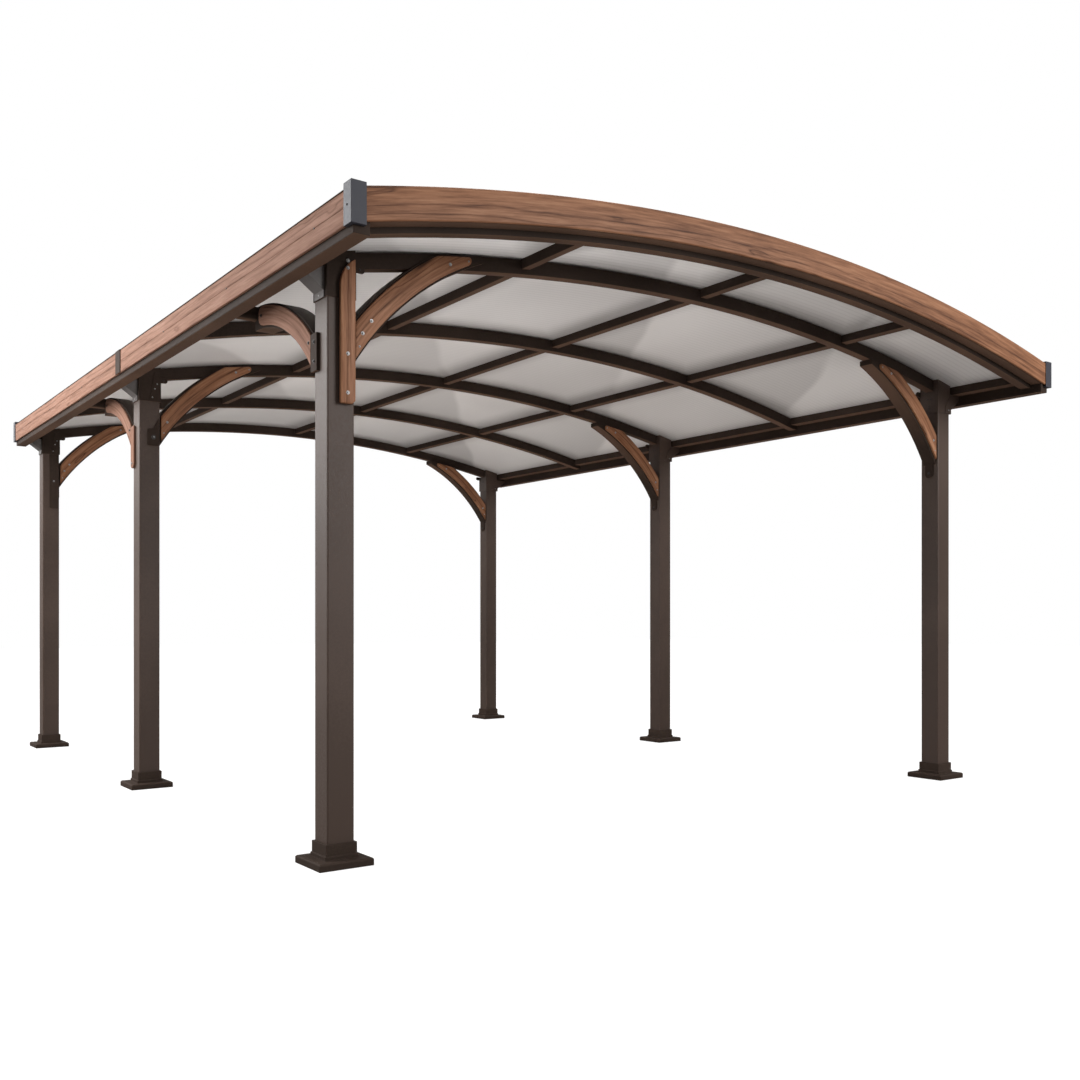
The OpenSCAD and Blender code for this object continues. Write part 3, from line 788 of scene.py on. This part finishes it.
# Bolt: a profile of washer rim and domed head turned about its level axis, one tube for each place
boltKinds = {
    "dome": {"washer": 0.0066, "washerUp": 0.0012, "head": 0.0048, "headUp": 0.0034, "sides": 20},
    "small": {"washer": 0.0042, "washerUp": 0.0006, "head": 0.0036, "headUp": 0.0024, "sides": 14},
    "wide": {"washer": 0.0120, "washerUp": 0.0020, "head": 0.0075, "headUp": 0.0045, "sides": 24},
}
boltValues = {
    "sunk": 0.001,  # metres that the washer stands in its seat
    "foot": 1.02,  # width of the head's foot, in head widths
    "footUp": 0.25,  # share of the head's height that is upright
    "domeTurn": 1.35,  # radians from the head's rim to the flat of its crown
    "domeSteps": 6,
}


def boltTubes(spots, facing, kind):
    values = boltKinds[kind]
    normal = np.array(facing, float)
    side = np.cross(normal, (0.0, 0.0, 1.0))
    up = np.cross(side, normal)
    turn = np.linspace(0, boltValues["domeTurn"], boltValues["domeSteps"])
    rise = boltValues["footUp"] + (1 - boltValues["footUp"]) * np.sin(turn)
    radius = np.concatenate([
        [values["washer"], values["washer"], values["head"] * boltValues["foot"]],
        values["head"] * np.cos(turn)])
    height = np.concatenate([
        [-boltValues["sunk"], values["washerUp"], values["washerUp"]],
        values["washerUp"] + values["headUp"] * rise])
    around = np.linspace(0, 2 * math.pi, values["sides"], endpoint=False)
    ring = np.cos(around)[:, None] * side + np.sin(around)[:, None] * up
    shape = radius[:, None, None] * ring + (height[:, None] * normal)[:, None, :]
    return [np.array(spot) + shape for spot in spots]


# Places on a knee board, as shares of its reach and of its height there
def kneeSpots(side, row, shares):
    reach = kneeValues["reach"] * np.array([share[0] for share in shares])
    low, high = kneeEdges(side, reach, 0.0)
    height = low + (high - low) * np.array([share[1] for share in shares])
    face = nodeBox("left_brace_boards")[0][1] - postRows[0] + postRows[row]
    return np.stack([side * (postIn - reach), face + 0 * reach, height], -1).tolist()


kneeBoltShares = {
    (-1, 0): [(0.720, 0.52), (0.125, 0.50), (0.062, 0.46)],
    (-1, 1): [(0.735, 0.52), (0.070, 0.48)],
    (-1, 2): [(0.735, 0.52), (0.120, 0.50), (0.062, 0.46)],
    (1, 0): [(0.735, 0.52), (0.065, 0.48)],
    (1, 1): [(0.735, 0.52), (0.065, 0.48)],
    (1, 2): [(0.735, 0.52), (0.065, 0.48)],
}
kneeTipShares = [(0.868, 0.5), (0.040, 0.25)]

tubes = []
for (side, row), shares in kneeBoltShares.items():
    tubes += boltTubes(kneeSpots(side, row, shares), (0, -1, 0), "dome")
    tubes += boltTubes(kneeSpots(side, row, kneeTipShares), (0, -1, 0), "small")
addPiece("knee_board_bolts", tubes, paints["zinc_bolt"])


# Places on the side braces' boards, on the front one's end plate and on the middle one's leg
sideBoltValues = {
    "shares": [(0.84, 0.50), (0.045, 0.62)],  # of the reach, and of the height there
    "plateRises": (0.035, 0.105), "plateInset": 0.020, "legRise": 0.026,  # metres
}


def sideBraceBolts(values):
    low = nodeBox("left_side_brace_boards")[0]
    reach = sideKneeValues["reach"] * np.array([share[0] for share in values["shares"]])
    under, over = sideEdges(reach, 0.0)
    height = under + (over - under) * np.array([share[1] for share in values["shares"]])
    tubes = []
    for row in postRows[:2]:
        spots = np.stack([low[0] + 0 * reach, row + postHalf + reach, height], -1)
        tubes += boltTubes(spots, (-1, 0, 0), "dome")
    plateLow = sideEdges(0.0, 0.0)[0]
    along = postRows[0] + postHalf - values["plateInset"]
    plate = [(low[0], along, plateLow + rise) for rise in values["plateRises"]]
    tubes += boltTubes(plate, (-1, 0, 0), "dome")
    addPiece("side_brace_bolts", tubes, paints["dark_bolt"])
    leg = boltTubes([(low[0], legMiddle(), low[2] + values["legRise"])], (-1, 0, 0), "dome")
    addPiece("side_brace_leg_bolt", leg, paints["zinc_bolt"])


sideBraceBolts(sideBoltValues)


# Bolts down the batten, on the strip below the back head and on the middle post's foot plate
battenBoltValues = {
    "shares": (0.050, 0.098, 0.669, 0.929),  # of the batten's height, from its top
    "across": 0.031,  # metres from its inner side
    "backShare": 0.5,  # of the strip's height
    "plateRise": 0.045,  # metres
}


def battenBolts(values):
    low = nodeBox("front_left_batten")[0]
    x = -(postIn + battenValues["inset"] + values["across"])
    spots = [(x, low[1], low[2] + battenValues["height"] * (1 - share)) for share in values["shares"]]
    tubes = boltTubes(spots, (0, -1, 0), "dome")
    stripLow, stripHigh = nodeBox("left_batten_backs")
    stripFace = postRows[2] - postHalf - (postRows[0] - postHalf - stripLow[1])
    stripRise = stripLow[2] + values["backShare"] * (stripHigh[2] - stripLow[2])
    tubes += boltTubes([(x, stripFace, stripRise)], (0, -1, 0), "dome")
    plateLow, plateHigh = nodeBox("middle_left_foot_plate")
    middle = (plateLow + plateHigh) / 2
    place = (middle[0], plateLow[1], plateLow[2] + values["plateRise"])
    addPiece("foot_plate_washer", boltTubes([place], (0, -1, 0), "wide"), paints["dark_bolt"])
    tubes += boltTubes([(place[0], place[1] - boltKinds["wide"]["headUp"], place[2])], (0, -1, 0), "small")
    addPiece("batten_bolts", tubes, paints["zinc_bolt"])


battenBolts(battenBoltValues)


# Bolts on the post heads, in metres above the head's foot: down the head plates and on their ears, a dark
# group on each sleeve's inner face, one on each strap's foot, each flange and each brace's tab
headBoltValues = {
    "plate": [(0.016, 0.092), (0.028, 0.066), (0.040, 0.020)],  # from the post's inner face, and up
    "ear": (0.0205, 0.0135),  # from the plates' inner end, and down from the right plates' top
    "sleeve": [(-0.010, 0.078), (0.008, 0.078), (0.0, 0.040), (0.002, 0.026)],  # along the row, and up
    "strapRise": 0.0125,
    "flange": (0.022, 0.020),  # from the sleeve's outer face, and up
    "tabRise": 0.027,
    "strap": 0.004,  # thickness of the straps and of the tabs
    "tab": 0.007,
}


def headBolts(values):
    plateLow, plateHigh = nodeBox("left_head_plates")
    earHigh = nodeBox("right_head_plates")[1]
    headLow, headHigh = nodeBox("right_post_heads")
    flangeLow = nodeBox("right_eave_brackets")[0]
    strapOut = headHigh[0] + values["strap"]
    tabFace = postIn - values["tab"]
    bright = []
    dark = []
    for row in postRows:
        shift = row - postRows[0]
        face = plateLow[1] + shift
        spots = [(-(postIn + inward), face, plateLow[2] + rise) for inward, rise in values["plate"]]
        bright += boltTubes(spots if shift > 0 else [], (0, -1, 0), "small")
        ear = (plateHigh[0] - values["ear"][0], face, earHigh[2] - values["ear"][1])
        dark += boltTubes([ear], (0, -1, 0), "small")
        strap = (-strapOut, row, headLow[2] + values["strapRise"])
        bright += boltTubes([strap], (-1, 0, 0), "small")
        flange = (headHigh[0] - values["flange"][0], flangeLow[1] + shift, headLow[2] + values["flange"][1])
        bright += boltTubes([flange], (0, -1, 0), "small")
        for side, braces in ((-1, "left_braces"), (1, "right_braces")):
            inner = [(side * headLow[0], row + along, headLow[2] + rise) for along, rise in values["sleeve"]]
            dark += boltTubes(inner, (-side, 0, 0), "small")
            tab = (side * tabFace, row, nodeBox(braces)[0][2] + values["tabRise"])
            dark += boltTubes([tab], (-side, 0, 0), "dome")
    addPiece("head_plate_bolts", bright, paints["zinc_bolt"])
    addPiece("head_sleeve_bolts", dark, paints["dark_bolt"])


headBolts(headBoltValues)


# Screws along the side boards' groove and on the caps' outer legs
screwValues = {
    "places": (-2.30, -1.50, -0.72, 0.72, 1.50, 2.30),  # metres along the boards
    "proud": 0.0005,  # metres above the groove's floor
    "capInset": 0.028, "capShare": 0.52,
}


def fasciaScrews(values):
    low, high = nodeBox("left_fascia")
    capHigh = nodeBox("corner_caps")[1]
    cut = low[2] + sideBoardValues["grooveShare"] * (high[2] - low[2])
    inGroove = sideBoardValues["grooveDepth"] - values["proud"]
    capRise = low[2] + values["capShare"] * (high[2] - low[2])
    tubes = []
    for side in (-1, 1):
        spots = [(side * (halfWidth - inGroove), along, cut) for along in values["places"]]
        spots += [(side * capHigh[0], end * (capHigh[1] - values["capInset"]), capRise) for end in (-1, 1)]
        tubes += boltTubes(spots, (side, 0, 0), "small")
    addPiece("fascia_screws", tubes, paints["dark_bolt"])


fasciaScrews(screwValues)
print("bolts made")


# Carried-over steel: edges eased by a bevel that follows the angle, after the loose triangles are joined
easeWidths = {  # metres, by a word in the node's name; the last word that fits counts
    "post": 0.005, "bases": 0.004, "post_heads": 0.0015, "head_plates": 0.0012, "brackets": 0.0012,
    "eave_beam": 0.003, "channel": 0.003, "rib": 0.003, "purlins": 0.003, "braces": 0.003,
    "caps": 0.0012, "strips": 0.0012, "bars": 0.0012, "batten_backs": 0.002, "foot_plate": 0.002,
    "sheet": 0.001,
}
easeValues = {
    "merge": 0.00002,  # metres
    "flat": 0.2,  # degrees between faces that count as one
    "steps": 2,
    "angle": 35.0,  # degrees above which an edge is eased
}


def easeEdges(node, width, values):
    weld = node.modifiers.new("weld", "WELD")
    weld.merge_threshold = values["merge"]
    flat = node.modifiers.new("flat", "DECIMATE")
    flat.decimate_type = "DISSOLVE"
    flat.angle_limit = math.radians(values["flat"])
    ease = node.modifiers.new("ease", "BEVEL")
    ease.width = width
    ease.segments = values["steps"]
    ease.limit_method = "ANGLE"
    ease.angle_limit = math.radians(values["angle"])
    ease.harden_normals = False
    ease.use_clamp_overlap = True


# Paint of each steel node that does not take the frame's darker brown, which carries painted shade
finishOf = {
    "corner_caps": "grey_cap", "left_eave_brackets": "grey_strap",
    "right_eave_brackets": "brown_steel", "right_post_heads": "brown_steel",
}
finishOf.update({name: "brown_steel" for names in postNames.values() for name in names})
for name, node in nodes.items():
    if node.hide_render:
        continue
    material = sheetMaterial if name.startswith("roof_sheet") else paints[finishOf.get(name, "frame_brown_painted_shade")]
    node.data.materials.clear()
    node.data.materials.append(material)
    width = [size for word, size in easeWidths.items() if word in name][-1]
    easeEdges(node, width, easeValues)
print("steel finished")


# Studio: a pale floor, a soft sky that is brightest overhead and at the back left, and five large soft lights
studioValues = {
    "floorSize": 60.0,
    "floorSeen": 0.90,  # glow of the floor in the picture
    "floor": (0.17, 0.168, 0.165, 1),  # what the floor sends back to the object
    "floorRough": 0.9, "floorSpecular": 0.1,
    "horizon": 0.07, "sky": 1.9, "leftSky": 0.5, "leftWay": (-0.50, 0.866, 0.0),
    "skyPower": 2.0,  # how fast the sky dims away from its brightest places
    "keyPlace": (-5.4, 1.2, 3.0), "keyAim": (-1.6, 0.3, 1.3), "keySize": 3.0, "keyPower": 280.0,
    "rimPlace": (-5.0, 6.6, 4.6), "rimAim": (-1.9, -0.6, 1.7), "rimSize": 4.0, "rimPower": 210.0,
    "fillPlace": (3.4, -9.0, 3.5), "fillAim": (0.2, -2.0, 1.9), "fillSize": 3.6, "fillPower": 515.0,
    "topPlace": (0.0, 0.0, 5.2), "topAim": (0.0, 0.001, 2.4), "topSize": 4.5, "topPower": 325.0,
    "underPlace": (0.0, 0.0, 0.04), "underAim": (0.0, 0.001, 2.4), "underSize": 5.4, "underPower": 40.0,
    "underColour": (1.0, 0.90, 0.82), "underSpread": 120.0,  # degrees
}


def addFloor(values):
    half = values["floorSize"] / 2
    corners = np.array([(-half, -half, 0), (half, -half, 0), (half, half, 0), (-half, half, 0)], float)
    mesh = bpy.data.meshes.new("studio_floor")
    mesh.from_pydata(corners, [], [(0, 1, 2, 3)])
    plain = {"Base Color": values["floor"], "Roughness": values["floorRough"],
             "Specular IOR Level": values["floorSpecular"], "Emission Color": (1, 1, 1, 1)}
    material, tree, shader = newMaterial("studio_floor", plain)
    seen = put(tree, "LightPath").outputs["Is Camera Ray"]
    tree.links.new(maths(tree, "MULTIPLY", seen, values["floorSeen"]), shader.inputs["Emission Strength"])
    mesh.materials.append(material)
    floor = bpy.data.objects.new("studio_floor", mesh)
    bpy.context.scene.collection.objects.link(floor)


def addSoftLight(light, values):
    data = bpy.data.lights.new(light + "_light", "AREA")
    data.size = values[light + "Size"]
    data.energy = values[light + "Power"]
    lamp = bpy.data.objects.new(light + "_light", data)
    lamp.location = values[light + "Place"]
    way = Vector(values[light + "Aim"]) - Vector(values[light + "Place"])
    lamp.rotation_euler = way.to_track_quat("-Z", "Y").to_euler()
    lamp.visible_camera = False
    bpy.context.scene.collection.objects.link(lamp)
    return lamp


def addSky(values):
    world = bpy.data.worlds.new("studio")
    world.use_nodes = True
    tree = world.node_tree
    way = put(tree, "TexCoord").outputs["Generated"]
    over = maths(tree, "MAXIMUM", put(tree, "SeparateXYZ", {0: way}).outputs[2], 0.0)
    beside = put(tree, "VectorMath", {0: way, 1: values["leftWay"]}, operation="DOT_PRODUCT").outputs["Value"]
    beside = maths(tree, "POWER", maths(tree, "MAXIMUM", beside, 0.0), values["skyPower"])
    over = maths(tree, "POWER", over, values["skyPower"])
    strength = maths(tree, "MULTIPLY_ADD", over, values["sky"], values["horizon"])
    strength = maths(tree, "MULTIPLY_ADD", beside, values["leftSky"], strength)
    light = put(tree, "Background", {"Color": (1, 1, 1, 1), "Strength": strength})
    white = put(tree, "Background", {"Color": (1, 1, 1, 1), "Strength": 1.0})
    seen = put(tree, "LightPath").outputs["Is Camera Ray"]
    both = put(tree, "MixShader", {0: seen, 1: light.outputs[0], 2: white.outputs[0]})
    tree.links.new(both.outputs[0], tree.nodes["World Output"].inputs["Surface"])
    bpy.context.scene.world = world


addFloor(studioValues)
for light in ("key", "rim", "fill", "top"):
    addSoftLight(light, studioValues)
underLamp = addSoftLight("under", studioValues)  # warm light off the ground, which shows in no reflection
underLamp.data.color = studioValues["underColour"]
underLamp.data.spread = math.radians(studioValues["underSpread"])
underLamp.visible_glossy = False
addSky(studioValues)
bpy.context.scene.view_settings.view_transform = "Standard"
print("studio set")
